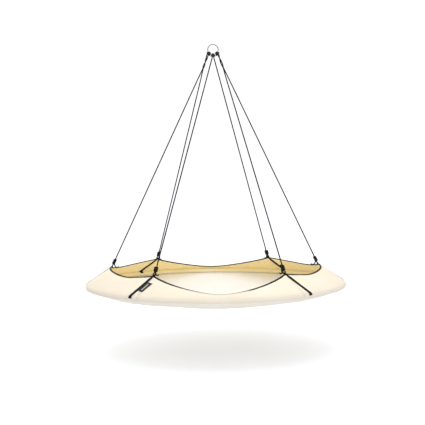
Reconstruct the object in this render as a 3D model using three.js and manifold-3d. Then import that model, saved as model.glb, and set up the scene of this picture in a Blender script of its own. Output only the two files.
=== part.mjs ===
// A round canvas swing: a hoop in a canvas saucer, hung by six rope legs from one steel ring.
// Millimetres, +Z up. The origin is the hang point, on the inside of the top of the ring.
// The swing's left and right lie along X, and its front faces -Y.
import * as THREE from 'three';
import { mergeVertices } from 'three/addons/utils/BufferGeometryUtils.js';
import Module from 'manifold-3d';

const wasm = await Module();
wasm.setup();

// Driving dimensions
const overallDiameter = 1800;
const hoopDrop = 1652;          // hang point down to the plane of the hoop
const ringRadius = 36;          // to the middle of the wire
const ringWire = 7;
const ropeDiameter = 8;
const tubeDiameter = 25;
const tubeWall = 1.5;
const sleeveRadius = 16.5;
const sleeveWall = 1.7;
const canvas = 2;               // thickness of the collar and the floor
const cornerRadius = 721.5;     // plan radius of the collar's six corners
const cornerHeight = 125;       // corners above the plane of the hoop
const floorSag = 93;            // middle of the floor below its edge
const webbingWidth = 25;
const webbingThickness = 1.8;
const webbingTopWidth = 12;     // the webbing is folded in half where the rope passes
const tapeThickness = 1;
const bindingDepth = 12;        // down each face of the collar from its edge
const swingAxisDepth = ringWire / 2 + 2 * ringRadius - ringWire; // hang point to the lower wire
const gap = 0.3;                // between pieces that touch

// Corners of the collar and feet of the straps, as compass angles from +X in degrees
const corners = [
  { name: 'right', angle: 0, foot: 0 },
  { name: 'back_right', angle: 53.5, foot: 50.5 },
  { name: 'back_left', angle: 125, foot: 128.5 },
  { name: 'left', angle: 180, foot: 180 },
  { name: 'front_left', angle: 235, foot: 231.5 },
  { name: 'front_right', angle: 305, foot: 308.5 },
];

// Panels between the corners, with how far each edge dips outwards at the low point of its scallop,
// and how far along the panel that low point is
const wideDip = 141;
const backSideDip = 56;
const frontSideDip = 28;
const panels = [
  { name: 'right_back', from: 0, to: 53.5, dip: backSideDip, low: 0.53 },
  { name: 'back', from: 53.5, to: 125, dip: wideDip, low: 0.5 },
  { name: 'left_back', from: 125, to: 180, dip: backSideDip, low: 0.47 },
  { name: 'left_front', from: 180, to: 235, dip: frontSideDip, low: 0.7 },
  { name: 'front', from: 235, to: 305, dip: wideDip, low: 0.5 },
  { name: 'right_front', from: 305, to: 360, dip: frontSideDip, low: 0.3 },
];

// Derived places
const radians = Math.PI / 180;
const hoopRadius = overallDiameter / 2 - sleeveRadius;
const ringCentre = new THREE.Vector3(0, 0, ringWire / 2 - ringRadius);
const lineRadius = sleeveRadius + gap + canvas / 2;      // hoop centre to the collar's middle surface
const cornerReach = Math.hypot(hoopRadius - cornerRadius, cornerHeight);
const slope = Math.asin(cornerHeight / cornerReach) - Math.asin(lineRadius / cornerReach);
const cornerRise = Math.sqrt(cornerReach ** 2 - lineRadius ** 2);

// Materials
const canvasCream = new THREE.MeshStandardMaterial({ color: 0xf3ead6, roughness: 0.9 });
const blackRope = new THREE.MeshStandardMaterial({ color: 0x111111, roughness: 0.8 });
const blackWebbing = new THREE.MeshStandardMaterial({ color: 0x161616, roughness: 0.75 });
const steel = new THREE.MeshStandardMaterial({ color: 0xb9bcc0, roughness: 0.25, metalness: 1 });
const aluminium = new THREE.MeshStandardMaterial({ color: 0xa9adb2, roughness: 0.4, metalness: 1 });

const swing = new THREE.Group();

function addMesh(name, geometry, material) {
  const mesh = new THREE.Mesh(geometry, material);
  mesh.name = name;
  swing.add(mesh);
}

// A closed polyline's regular section
function polygon(radius, sides) {
  const shape = new THREE.Shape();
  for (let i = 0; i < sides; i += 1) {
    const turn = ((i + 0.5) / sides) * 2 * Math.PI;
    const x = radius * Math.cos(turn);
    const y = radius * Math.sin(turn);
    if (i === 0) shape.moveTo(x, y);
    else shape.lineTo(x, y);
  }
  shape.closePath();
  return shape;
}

// A curve that is sampled only at its own points, so that long straight runs stay light. Where it
// is one length of a longer bend, lead and trail are the bend's next points, and square its ends
class Route extends THREE.Curve {
  constructor(points, lead = points[0], trail = points[points.length - 1]) {
    super();
    this.points = points;
    this.lead = lead;
    this.trail = trail;
  }

  getPointAt(u) {
    return this.points[Math.round(u * (this.points.length - 1))].clone();
  }

  getTangentAt(u) {
    const last = this.points.length - 1;
    const i = Math.round(u * last);
    const before = i === 0 ? this.lead : this.points[i - 1];
    const here = this.points[i];
    const after = i === last ? this.trail : this.points[i + 1];
    const incoming = here.clone().sub(before).normalize();
    const outgoing = after.clone().sub(here).normalize();
    return incoming.add(outgoing).normalize();
  }
}

function sweep(shape, points, lead, trail) {
  return new THREE.ExtrudeGeometry(shape, {
    steps: points.length - 1,
    extrudePath: new Route(points, lead, trail),
  });
}

function smooth(points, count) {
  return new THREE.CatmullRomCurve3(points, false, 'centripetal').getSpacedPoints(count);
}

function toSolid(geometry) {
  const bare = geometry.clone();
  bare.deleteAttribute('normal');
  bare.deleteAttribute('uv');
  const merged = mergeVertices(bare, 1e-4);
  return new wasm.Manifold(new wasm.Mesh({
    numProp: 3,
    vertProperties: new Float32Array(merged.attributes.position.array),
    triVerts: new Uint32Array(merged.index.array),
  }));
}

function toGeometry(solid) {
  const mesh = solid.getMesh();
  const geometry = new THREE.BufferGeometry();
  geometry.setAttribute('position', new THREE.BufferAttribute(mesh.vertProperties, 3));
  geometry.setIndex(new THREE.BufferAttribute(mesh.triVerts, 1));
  return geometry;
}

// Moves every vertex of a geometry by a function of its place
function remap(geometry, place) {
  const position = geometry.attributes.position;
  for (let i = 0; i < position.count; i += 1) {
    const p = place(position.getX(i), position.getY(i), position.getZ(i));
    position.setXYZ(i, p.x, p.y, p.z);
  }
  geometry.deleteAttribute('normal');
  return geometry;
}

// A place given by compass angle, plan radius and height above the plane of the hoop
function polar(angle, radius, height) {
  const turn = angle * radians;
  return new THREE.Vector3(radius * Math.cos(turn), radius * Math.sin(turn), height - hoopDrop);
}

// The collar is a cone that leaves the sleeve at a tangent: rise is measured up its face, and out
// is measured from its middle surface towards the outside
function conePlan(rise, out) {
  return hoopRadius + (lineRadius + out) * Math.sin(slope) - rise * Math.cos(slope);
}

function coneHeight(rise, out) {
  return (lineRadius + out) * Math.cos(slope) + rise * Math.sin(slope);
}

function onCone(angle, rise, out) {
  return polar(angle, conePlan(rise, out), coneHeight(rise, out));
}

// A panel's share from 0 to 1, bent so that its low point falls at 0.5
function bentShare(panel, angle) {
  const share = THREE.MathUtils.clamp((angle - panel.from) / (panel.to - panel.from), 0, 1);
  if (panel.low >= 0.5) return share ** (Math.log(0.5) / Math.log(panel.low));
  return 1 - (1 - share) ** (Math.log(0.5) / Math.log(1 - panel.low));
}

// Height of the scalloped edge up the collar's face: full at the corners, least at the low point
function edgeRise(panel, angle) {
  const across = 2 * bentShare(panel, angle) - 1;
  const blunt = 0.03;
  const power = 0.6;
  const low = blunt ** power;
  const fall = ((across ** 2 + blunt) ** power - low) / ((1 + blunt) ** power - low);
  const plan = cornerRadius + panel.dip * (1 - fall);
  return cornerRise - (plan - cornerRadius) / Math.cos(slope);
}

// Hanging ring: one welded ring of round wire, standing in the XZ plane
function hangingRing() {
  const ring = new THREE.TorusGeometry(ringRadius, ringWire / 2, 8, 40);
  ring.rotateX(Math.PI / 2);
  ring.translate(ringCentre.x, ringCentre.y, ringCentre.z);
  addMesh('hanging_ring', ring, steel);
}

// A place near the ring's wire: along the wire, outwards from the ring and towards the back
function onRing(bottomAngle, along, outward, back) {
  const turn = bottomAngle * radians + along / ringRadius;
  const reach = ringRadius + outward;
  return new THREE.Vector3(
    ringCentre.x + reach * Math.sin(turn),
    ringCentre.y + back,
    ringCentre.z - reach * Math.cos(turn),
  );
}

// One half of a cow hitch, as [along, outward, back]: up in front of the wire, over it, down behind,
// forward beneath it, and out to the bar that crosses in front of both legs
const halfHitch = [
  [3.7, 13, -4.2],
  [3.8, 6.4, -6.6],
  [4.2, 0, -8.1],
  [4.8, -5.8, -5.8],
  [5.7, -8.2, 0.3],
  [7.1, -5.9, 5.8],
  [8.9, 0, 8.1],
  [9.9, 5.9, 6],
  [10.5, 9.4, 0.6],
  [10.4, 10.4, -5.4],
  [8.4, 10.4, -10.8],
  [4.2, 10.4, -13.3],
];

// Each rope's hitch, its place round the ring, and the two legs that leave it
const stubFoot = 20;       // hitch ends this far below the lower wire
const legHead = 22.6;      // legs start this far below it, so that they can swing under it
const ropes = [
  { hitch: 'left', bottomAngle: -47, leftLeg: 'back_left', rightLeg: 'left' },
  { hitch: 'middle', bottomAngle: 0, leftLeg: 'front_left', rightLeg: 'back_right' },
  { hitch: 'right', bottomAngle: 47, leftLeg: 'right', rightLeg: 'front_right' },
];

function corner(name) {
  return corners.find((one) => one.name === name);
}

// Middle of the eye that the strap leaves above the collar's corner for the rope
const eyeRise = cornerRise + 0.5 + ropeDiameter / 2;

function eyePlace(name) {
  return onCone(corner(name).angle, eyeRise, 0);
}

// The outer ropes' legs wind round each other down to a parting point, then go straight
const twistRadius = 4.4;
const twistTurn = 242.7;
const partingDrop = 155;   // parting point below the hang point
const twists = {
  left: { start: 0, pace: 2 },
  right: { start: 180, pace: 0.9 },
};

const mouthOutward = 12;
const mouthBack = -2;

function hitchMouth(rope) {
  return onRing(rope.bottomAngle, 0, mouthOutward, mouthBack);
}

function partingPlace(rope) {
  const mouth = hitchMouth(rope);
  const goal = eyePlace(rope.leftLeg).add(eyePlace(rope.rightLeg)).multiplyScalar(0.5);
  const share = (-partingDrop - mouth.z) / (goal.z - mouth.z);
  return mouth.lerp(goal, share);
}

// Place of one strand of a twisted pair at a share of the way from the hitch to the parting point
function strandPlace(rope, side, share) {
  const twist = twists[rope.hitch];
  const turn = (twist.start + twistTurn * share ** twist.pace) * radians;
  const run = partingPlace(rope).sub(hitchMouth(rope)).normalize();
  const across = new THREE.Vector3(1, 0, 0).addScaledVector(run, -run.x).normalize();
  const back = across.clone().cross(run);
  return hitchMouth(rope).lerp(partingPlace(rope), share)
    .addScaledVector(across, side * twistRadius * Math.cos(turn))
    .addScaledVector(back, side * twistRadius * Math.sin(turn));
}

function shareAtHeight(rope, z) {
  const mouth = hitchMouth(rope);
  return (z - mouth.z) / (partingPlace(rope).z - mouth.z);
}

// The outer legs' side of the twist: the leg that goes to the swing's side starts nearer the middle
function legSide(rope, legName) {
  return legName === rope.hitch ? 1 : -1;
}

// The middle rope's legs part at once, from places beside the middle of its hitch
const middleMouth = { spread: 4.3, skew: 0.8, back: -1.2, drop: 13 };

function legRoute(rope, legName) {
  const top = -swingAxisDepth - legHead;
  const eye = eyePlace(legName);
  if (rope.hitch === 'middle') {
    const side = legName === rope.leftLeg ? -1 : 1;
    const mouth = new THREE.Vector3(
      side * middleMouth.spread,
      side * middleMouth.skew + middleMouth.back,
      -swingAxisDepth - middleMouth.drop,
    );
    const start = mouth.clone().lerp(eye, (top - mouth.z) / (eye.z - mouth.z));
    return { mouth, points: [start, knotTop(start, eye)] };
  }
  const points = [];
  const steps = 10;
  const first = shareAtHeight(rope, top);
  for (let i = 0; i <= steps; i += 1) {
    const share = first + ((1 - first) * i) / steps;
    points.push(strandPlace(rope, legSide(rope, legName), share));
  }
  const mouth = strandPlace(rope, legSide(rope, legName), 0);
  points.push(knotTop(points[steps], eye));
  return { mouth, points };
}

// Knots: turns of rope round the leg, an eye through the strap and a turned-up tail
const knotWraps = 5;
const knotFoot = 19;                                    // eye of the strap up to the lowest turn
const knotLength = knotWraps * ropeDiameter * 1.04;
const knotCore = ropeDiameter;                          // leg's middle to the middle of a turn
const turnBulge = 0.42 * ropeDiameter;                  // middle of a turn to its crest
const crestShares = [0.2, 0.8];                         // of a turn's height, the crest's ends

function knotTop(above, eye) {
  const up = above.clone().sub(eye).normalize();
  return eye.clone().addScaledVector(up, knotFoot + knotLength + gap);
}

// The hitch solid: stub, half hitch, bar, half hitch, stub
function hitchSolid(rope) {
  const place = (side) => ([along, outward, back]) =>
    onRing(rope.bottomAngle, side * along, outward, back);
  const left = halfHitch.map(place(-1));
  const right = halfHitch.map(place(1)).reverse();
  const foot = (legName) => {
    const { mouth, points } = legRoute(rope, legName);
    const z = -swingAxisDepth - stubFoot;
    return mouth.clone().lerp(points[0], (z - mouth.z) / (points[0].z - mouth.z));
  };
  const route = [foot(rope.leftLeg), ...left, ...right, foot(rope.rightLeg)];
  const tube = sweep(polygon(ropeDiameter / 2, 6), smooth(route, 64));
  addMesh(`hitch_${rope.hitch}`, tube, blackRope);
}

function ropeLeg(rope, legName) {
  const { points } = legRoute(rope, legName);
  addMesh(`rope_${legName}`, sweep(polygon(ropeDiameter / 2, 8), points), blackRope);
}

// Local frame of a corner's knot: up the leg, along the hoop, and inwards to the seat
function knotFrame(rope, legName) {
  const { points } = legRoute(rope, legName);
  const eye = eyePlace(legName);
  const up = points[points.length - 1].clone().sub(eye).normalize();
  const turn = corner(legName).angle * radians;
  const along = new THREE.Vector3(-Math.sin(turn), Math.cos(turn), 0);
  along.addScaledVector(up, -along.dot(up)).normalize();
  const inward = along.clone().cross(up);
  const outside = new THREE.Vector3(Math.cos(turn), Math.sin(turn), 0);
  if (inward.dot(outside) > 0) inward.negate();
  const place = (a, i, u) => eye.clone()
    .addScaledVector(along, a)
    .addScaledVector(inward, i)
    .addScaledVector(up, u);
  return { place, up };
}

function knotBarrel(frame) {
  const profile = [new THREE.Vector2(0, 0)];
  const pitch = knotLength / knotWraps;
  for (let i = 0; i < knotWraps; i += 1) {
    for (const share of crestShares) {
      profile.push(new THREE.Vector2(knotCore + turnBulge, pitch * (i + share)));
    }
    if (i < knotWraps - 1) profile.push(new THREE.Vector2(knotCore, pitch * (i + 1)));
  }
  profile.push(new THREE.Vector2(0, knotLength));
  const barrel = new THREE.LatheGeometry(profile, 8);
  const upright = new THREE.Quaternion().setFromUnitVectors(new THREE.Vector3(0, 1, 0), frame.up);
  barrel.applyQuaternion(upright);
  const foot = frame.place(0, 0, knotFoot);
  barrel.translate(foot.x, foot.y, foot.z);
  return barrel;
}

// Half of the loop through the strap, and the tail, as [along the hoop, inwards, up the leg]
const eyeLoop = [[4, 0, 24], [6.2, 0, 15], [11.4, 0, 8], [12, 0, 2.4], [6.5, 0, 0]];
const tailRoute = [[0, 7, 25], [0, 11, 15.5], [0, 18, 9.5], [0, 27, 8], [0, 36, 12], [0, 42, 21]];

function knot(rope, legName) {
  const frame = knotFrame(rope, legName);
  const mirrored = eyeLoop.map(([a, i, u]) => [-a, i, u]).reverse();
  const loop = [...eyeLoop, ...mirrored].map((p) => frame.place(...p));
  const tail = tailRoute.map((p) => frame.place(...p));
  const strand = polygon(ropeDiameter / 2, 6);
  const solid = toSolid(knotBarrel(frame))
    .add(toSolid(sweep(strand, smooth(loop, 16))))
    .add(toSolid(sweep(strand, smooth(tail, 8))));
  addMesh(`knot_${legName}`, toGeometry(solid), blackRope);
}

// A ribbon's outline: its path offset to both sides, in the plane of plan radius and height
function ribbonShape(path, thickness) {
  const side = (sign) => path.map((p, i) => {
    const before = path[Math.max(i - 1, 0)];
    const after = path[Math.min(i + 1, path.length - 1)];
    const run = new THREE.Vector2().subVectors(after, before).normalize();
    const reach = (sign * thickness) / 2;
    return new THREE.Vector2(p.x - reach * run.y, p.y + reach * run.x);
  });
  return new THREE.Shape([...side(1), ...side(-1).reverse()]);
}

// Webbing strap: sewn to the outside of the sleeve, up over the collar, through an eye above the
// corner, and down the inside to the hoop
const bindingHalf = canvas / 2 + gap + tapeThickness;
const strapOut = bindingHalf + 0.4 + webbingThickness / 2;
const eyeBend = ropeDiameter / 2 + 0.45 + webbingThickness / 2;

// Places round the sleeve near the strap's ends, as [turn from straight outwards, stand-off]
const outerWrap = [[-4, 1.5], [14, 2.2], [32, 3]];
const innerWrap = [[118, 3.6], [138, 3.6], [158, 4]];
const eyeApproach = 2;          // below the corner, where the strap starts to turn round the rope
const tapeApproach = 14;        // below the corner, where it starts to lean towards the rope
const innerBend = 32;           // up the collar's inner face, where it starts to turn to the sleeve
const eyeTurns = [90, 54, 18, -18, -54, -90];

function strapPath() {
  const cone = (rise, out) => new THREE.Vector2(conePlan(rise, out), coneHeight(rise, out));
  const aroundHoop = ([turn, standOff]) => new THREE.Vector2(
    hoopRadius + (sleeveRadius + standOff) * Math.cos(turn * radians),
    (sleeveRadius + standOff) * Math.sin(turn * radians),
  );
  const aroundEye = (turn) => cone(
    eyeRise + eyeBend * Math.cos(turn * radians),
    eyeBend * Math.sin(turn * radians),
  );
  return [
    ...outerWrap.map(aroundHoop),
    cone(0, strapOut),
    cone(cornerRise - tapeApproach, strapOut),
    cone(cornerRise - eyeApproach, eyeBend),
    ...eyeTurns.map(aroundEye),
    cone(cornerRise - eyeApproach, -eyeBend),
    cone(cornerRise - tapeApproach, -strapOut),
    cone(innerBend, -strapOut),
    cone(innerBend / 2, -strapOut - 1),
    ...innerWrap.map(aroundHoop),
  ];
}

function strap(one) {
  const shape = ribbonShape(strapPath(), webbingThickness);
  const flat = new THREE.ExtrudeGeometry(shape, { depth: 1, steps: 1, bevelEnabled: false });
  const taper = 45;
  const geometry = remap(flat, (plan, height, depth) => {
    const rise = (height - coneHeight(0, 0)) * Math.sin(slope)
      - (plan - conePlan(0, 0)) * Math.cos(slope);
    const share = THREE.MathUtils.clamp(rise / cornerRise, 0, 1);
    const narrow = THREE.MathUtils.clamp((rise - cornerRise + taper) / taper, 0, 1);
    const width = THREE.MathUtils.lerp(webbingWidth, webbingTopWidth, narrow);
    const middle = THREE.MathUtils.lerp(one.foot, one.angle, share);
    const angle = middle - ((depth - 0.5) * width) / plan / radians;
    return polar(angle, plan, height);
  });
  addMesh(`strap_${one.name}`, geometry, blackWebbing);
}

// Hoop sections: bent tube, butted at the joints and pinned by a ferrule inside each joint
const hoopStep = 10;
const jointAngle = 20;
const hoopSections = 6;
const sectionSpan = 360 / hoopSections;
const ferruleLength = 120;
const ferruleSlack = 0.6;       // all round, inside the tube

function hoopSection(index) {
  const from = jointAngle + index * sectionSpan;
  const buttGap = gap / hoopRadius / radians;
  const points = [];
  for (let angle = from; angle <= from + sectionSpan; angle += hoopStep) {
    const inset = (angle === from ? buttGap : 0) - (angle === from + sectionSpan ? buttGap : 0);
    points.push(polar(angle + inset, hoopRadius, 0));
  }
  const ring = polygon(tubeDiameter / 2, 8);
  ring.holes.push(new THREE.Path(polygon(tubeDiameter / 2 - tubeWall, 8).getPoints().reverse()));
  const lead = polar(from - hoopStep, hoopRadius, 0);
  const trail = polar(from + sectionSpan + hoopStep, hoopRadius, 0);
  addMesh(`hoop_tube_${index + 1}`, sweep(ring, points, lead, trail), aluminium);
}

function hoopFerrule(index) {
  const joint = jointAngle + index * sectionSpan;
  const middle = polar(joint, hoopRadius, 0);
  const chord = 2 * hoopRadius * Math.sin((hoopStep / 2) * radians);
  const share = ferruleLength / 2 / chord;
  const before = middle.clone().lerp(polar(joint - hoopStep, hoopRadius, 0), share);
  const after = middle.clone().lerp(polar(joint + hoopStep, hoopRadius, 0), share);
  const section = polygon(tubeDiameter / 2 - tubeWall - ferruleSlack, 8);
  addMesh(`hoop_ferrule_${index + 1}`, sweep(section, [before, middle, after]), steel);
}

// Hoop sleeve: a canvas tunnel round the hoop, left open along a narrow slit that the floor covers
function hoopSleeve() {
  const slit = 4;
  const slitAngle = 256;
  const sides = 8;
  const bore = sleeveRadius - sleeveWall;
  const outline = [];
  const inner = [];
  for (let i = 0; i <= sides; i += 1) {
    const turn = slitAngle + slit / 2 + ((360 - slit) * i) / sides;
    outline.push(roundHoop(turn, sleeveRadius));
    inner.push(roundHoop(turn, bore));
  }
  const loop = [...outline, ...inner.reverse()];
  loop.push(loop[0].clone());
  const sleeve = new THREE.LatheGeometry(loop, 360 / hoopStep, Math.PI / 2);
  sleeve.rotateX(Math.PI / 2);
  sleeve.translate(0, 0, -hoopDrop);
  addMesh('hoop_sleeve', sleeve, canvasCream);
}

// A place round the hoop's section, as (plan radius, height), turned from straight outwards
function roundHoop(turn, reach) {
  return new THREE.Vector2(
    hoopRadius + reach * Math.cos(turn * radians),
    reach * Math.sin(turn * radians),
  );
}

// Floor panel: a round canvas dish, sewn to the underside of the sleeve
function floorPanel() {
  const sewnTurns = [270, 258];
  const leavingTurn = 247;
  const stations = [0, 0.35, 0.6, 0.8, 0.92];
  const hug = sleeveRadius + gap + 0.15;
  const leaving = roundHoop(leavingTurn, hug + canvas / 2);
  const face = (side) => {
    const reach = hug + canvas / 2 - (side * canvas) / 2;
    const dish = stations.map((s) => new THREE.Vector2(
      leaving.x * s,
      leaving.y - floorSag * (1 - s ** 4) + (side * canvas) / 2,
    ));
    const sewn = [leavingTurn, ...sewnTurns.toReversed()].map((turn) => roundHoop(turn, reach));
    return [...dish, ...sewn];
  };
  const outline = [...face(-1), ...face(1).reverse()];
  const dish = new THREE.LatheGeometry(outline, 360 / hoopStep, Math.PI / 2);
  dish.rotateX(Math.PI / 2);
  dish.translate(0, 0, -hoopDrop);
  addMesh('floor_panel', dish, canvasCream);
}

// Collar panel: a slice of the cone between two corners, up to its scalloped edge
const panelStep = 5;            // degrees
const seamGap = 0.02;           // degrees left open at each side seam

function acrossPanel(panel, share) {
  return THREE.MathUtils.lerp(panel.from + seamGap, panel.to - seamGap, share);
}

function collarPanel(panel) {
  const steps = Math.round((panel.to - panel.from) / panelStep);
  const bindingInset = tapeThickness + gap;
  const box = new THREE.BoxGeometry(1, 1, canvas, steps, 1, 1);
  const geometry = remap(box, (x, y, z) => {
    const angle = acrossPanel(panel, x + 0.5);
    const rise = (edgeRise(panel, angle) - bindingInset) * (y + 0.5);
    return onCone(angle, rise, z);
  });
  addMesh(`collar_${panel.name}`, geometry, canvasCream);
}

// Edge binding: tape folded over the scalloped edge of one panel
function edgeBinding(panel) {
  const steps = Math.round((panel.to - panel.from) / panelStep);
  const slot = bindingHalf - tapeThickness;
  const shape = new THREE.Shape([
    new THREE.Vector2(-bindingDepth, -bindingHalf),
    new THREE.Vector2(0, -bindingHalf),
    new THREE.Vector2(0, bindingHalf),
    new THREE.Vector2(-bindingDepth, bindingHalf),
    new THREE.Vector2(-bindingDepth, slot),
    new THREE.Vector2(-tapeThickness, slot),
    new THREE.Vector2(-tapeThickness, -slot),
    new THREE.Vector2(-bindingDepth, -slot),
  ]);
  const straight = new THREE.ExtrudeGeometry(shape, { depth: 1, steps, bevelEnabled: false });
  const geometry = remap(straight, (x, y, z) => {
    const angle = acrossPanel(panel, z);
    return onCone(angle, edgeRise(panel, angle) + x, y);
  });
  addMesh(`binding_${panel.name}`, geometry, blackWebbing);
}

// Label: a plain woven tag sewn to the front panel along the front left strap, square to it
function label() {
  const width = 40;
  const length = 90;
  const thickness = 1.2;
  const foot = 42;                // up the collar from the hoop to the middle of the tag's lower end
  const offset = 34;              // from the strap's middle to the tag's middle
  const front = corner('front_left');
  const shift = (front.angle - front.foot) * radians * conePlan(cornerRise / 2, 0);
  const lean = Math.atan2(shift, cornerRise);
  const box = new THREE.BoxGeometry(width, length, thickness, 2, 2, 1);
  const geometry = remap(box, (x, y, z) => {
    const aside = offset + x;
    const rise = foot + (length / 2 + y) * Math.cos(lean) - x * Math.sin(lean);
    const middle = THREE.MathUtils.lerp(front.foot, front.angle, rise / cornerRise);
    const out = canvas / 2 + gap + thickness / 2 + z;
    const angle = middle + aside / Math.cos(lean) / conePlan(rise, 0) / radians;
    return onCone(angle, rise, out);
  });
  addMesh('label', geometry, blackWebbing);
}

hangingRing();
for (const rope of ropes) {
  hitchSolid(rope);
  for (const legName of [rope.leftLeg, rope.rightLeg]) {
    ropeLeg(rope, legName);
    knot(rope, legName);
  }
}
for (const one of corners) strap(one);
for (const panel of panels) {
  collarPanel(panel);
  edgeBinding(panel);
}
floorPanel();
hoopSleeve();
for (let index = 0; index < hoopSections; index += 1) {
  hoopSection(index);
  hoopFerrule(index);
}
label();

export default swing;
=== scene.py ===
import math

import bmesh
import bpy
from mathutils import Matrix, Vector, noise


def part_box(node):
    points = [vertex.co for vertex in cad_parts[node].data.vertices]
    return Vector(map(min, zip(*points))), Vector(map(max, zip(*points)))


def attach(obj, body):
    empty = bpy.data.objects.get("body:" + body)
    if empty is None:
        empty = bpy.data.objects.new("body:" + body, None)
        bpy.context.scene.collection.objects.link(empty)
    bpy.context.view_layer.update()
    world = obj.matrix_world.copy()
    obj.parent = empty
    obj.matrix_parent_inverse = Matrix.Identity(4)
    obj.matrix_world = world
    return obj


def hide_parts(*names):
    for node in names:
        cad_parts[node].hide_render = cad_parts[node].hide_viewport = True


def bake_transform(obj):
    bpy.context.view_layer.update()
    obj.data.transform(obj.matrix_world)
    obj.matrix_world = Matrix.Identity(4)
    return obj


# The looks of a round canvas swing: a hoop sewn into a canvas saucer, hung by three doubled ropes
# from one steel ring. Metres, +Z up, origin at the hang point, front facing -Y.

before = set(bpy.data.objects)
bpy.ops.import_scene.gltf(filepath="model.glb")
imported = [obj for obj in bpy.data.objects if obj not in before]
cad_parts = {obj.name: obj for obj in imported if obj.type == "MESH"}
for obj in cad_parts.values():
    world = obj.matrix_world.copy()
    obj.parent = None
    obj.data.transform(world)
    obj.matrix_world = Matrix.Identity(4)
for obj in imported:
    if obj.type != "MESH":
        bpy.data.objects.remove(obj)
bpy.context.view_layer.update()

# Driving sizes, as in the CAD model
HOOP_RADIUS = 0.8835
HOOP_DROP = 1.652
RING_RADIUS = 0.036
RING_WIRE = 0.007
ROPE = 0.008
TUBE = 0.025
TUBE_WALL = 0.0015
SLEEVE_RADIUS = 0.0165
GAP = 0.0003
CORNER_RADIUS = 0.7215
CORNER_HEIGHT = 0.125
FLOOR_SAG = 0.093
WEBBING_WIDTH = 0.025
WEBBING_TOP_WIDTH = 0.012
WEBBING = 0.0018
TAG = 0.0012

# Cloth as it really is, thinner than the CAD model's solids
CANVAS = 0.0014
TAPE = 0.0009
THREAD = 0.0007

# Stitches, as (from one to the next, length that shows)
CANVAS_STITCH = (0.0048, 0.0036)
BINDING_STITCH = (0.0045, 0.0034)
STRAP_STITCH = (0.0042, 0.0032)
TAG_STITCH = (0.003, 0.0023)

# Corners and strap feet as compass angles from +X, and panels with the dip of each scallop and how
# far along the panel its low point is
CORNERS = {
    "right": (0.0, 0.0),
    "back_right": (53.5, 50.5),
    "back_left": (125.0, 128.5),
    "left": (180.0, 180.0),
    "front_left": (235.0, 231.5),
    "front_right": (305.0, 308.5),
}
WIDE_DIP = 0.141
BACK_SIDE_DIP = 0.056
FRONT_SIDE_DIP = 0.028
PANELS = {
    "right_back": (0.0, 53.5, BACK_SIDE_DIP, 0.53),
    "back": (53.5, 125.0, WIDE_DIP, 0.5),
    "left_back": (125.0, 180.0, BACK_SIDE_DIP, 0.47),
    "left_front": (180.0, 235.0, FRONT_SIDE_DIP, 0.7),
    "front": (235.0, 305.0, WIDE_DIP, 0.5),
    "right_front": (305.0, 360.0, FRONT_SIDE_DIP, 0.3),
}

# Places that follow from the sizes
ring_low, ring_high = (Vector(p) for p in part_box("hanging_ring"))
RING_CENTRE = (ring_low + ring_high) / 2
SWING_AXIS_Z = RING_CENTRE.z - RING_RADIUS
LINE_RADIUS = SLEEVE_RADIUS + GAP + 0.001
CORNER_REACH = math.hypot(HOOP_RADIUS - CORNER_RADIUS, CORNER_HEIGHT)
SLOPE = math.asin(CORNER_HEIGHT / CORNER_REACH) - math.asin(LINE_RADIUS / CORNER_REACH)
CORNER_RISE = math.sqrt(CORNER_REACH**2 - LINE_RADIUS**2)
TANGENT_TURN = math.pi / 2 - SLOPE
EYE_RISE = CORNER_RISE + 0.0005 + ROPE / 2
HOOP_Z = -HOOP_DROP


def polar(angle, plan, height):
    """A place by compass angle in degrees, plan radius and height above the plane of the hoop."""
    turn = math.radians(angle)
    return Vector((plan * math.cos(turn), plan * math.sin(turn), HOOP_Z + height))


def profile(rise, out):
    """Plan radius and height of a place on the collar's face. Below 0, rise runs on round the hoop."""
    reach = LINE_RADIUS + out
    turn = TANGENT_TURN + min(rise, 0.0) / LINE_RADIUS
    up = max(rise, 0.0)
    plan = HOOP_RADIUS + reach * math.cos(turn) - up * math.cos(SLOPE)
    return plan, reach * math.sin(turn) + up * math.sin(SLOPE)


def skin(angle, rise, out):
    plan, height = profile(rise, out)
    return polar(angle, plan, height)


def bent_share(panel, angle):
    """A panel's share from 0 to 1, bent so that its low point falls at 0.5."""
    start, end, _, low = PANELS[panel]
    share = clamp((angle - start) / (end - start))
    if low >= 0.5:
        return share ** (math.log(0.5) / math.log(low))
    return 1 - (1 - share) ** (math.log(0.5) / math.log(1 - low))


def edge_rise(panel, angle):
    """How far up the collar its scalloped edge is: highest at the corners, least at its low point."""
    across = 2 * bent_share(panel, angle) - 1
    blunt = 0.03
    power = 0.6
    low = blunt**power
    fall = ((across**2 + blunt) ** power - low) / ((1 + blunt) ** power - low)
    return CORNER_RISE - PANELS[panel][2] * (1 - fall) / math.cos(SLOPE)


def along_hoop(angle):
    """Length along the hoop's middle line."""
    return math.radians(angle) * HOOP_RADIUS


def round_hoop(angle, turn, reach):
    """A place round the hoop's middle line, at a turn that starts outwards and goes up."""
    return polar(angle, HOOP_RADIUS + reach * math.cos(turn), reach * math.sin(turn))


def circle(count):
    """Turns that go once round in equal steps."""
    return [2 * math.pi * k / count for k in range(count)]


def lerp(a, b, share):
    return a + (b - a) * share


def spaced(start, end, steps):
    """Values from start to end in equal steps."""
    return [lerp(start, end, i / steps) for i in range(steps + 1)]


def clamp(value, low=0.0, high=1.0):
    return max(low, min(high, value))


def smooth_step(value):
    t = clamp(value)
    return t * t * (3 - 2 * t)


# ---------------------------------------------------------------- camera

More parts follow.
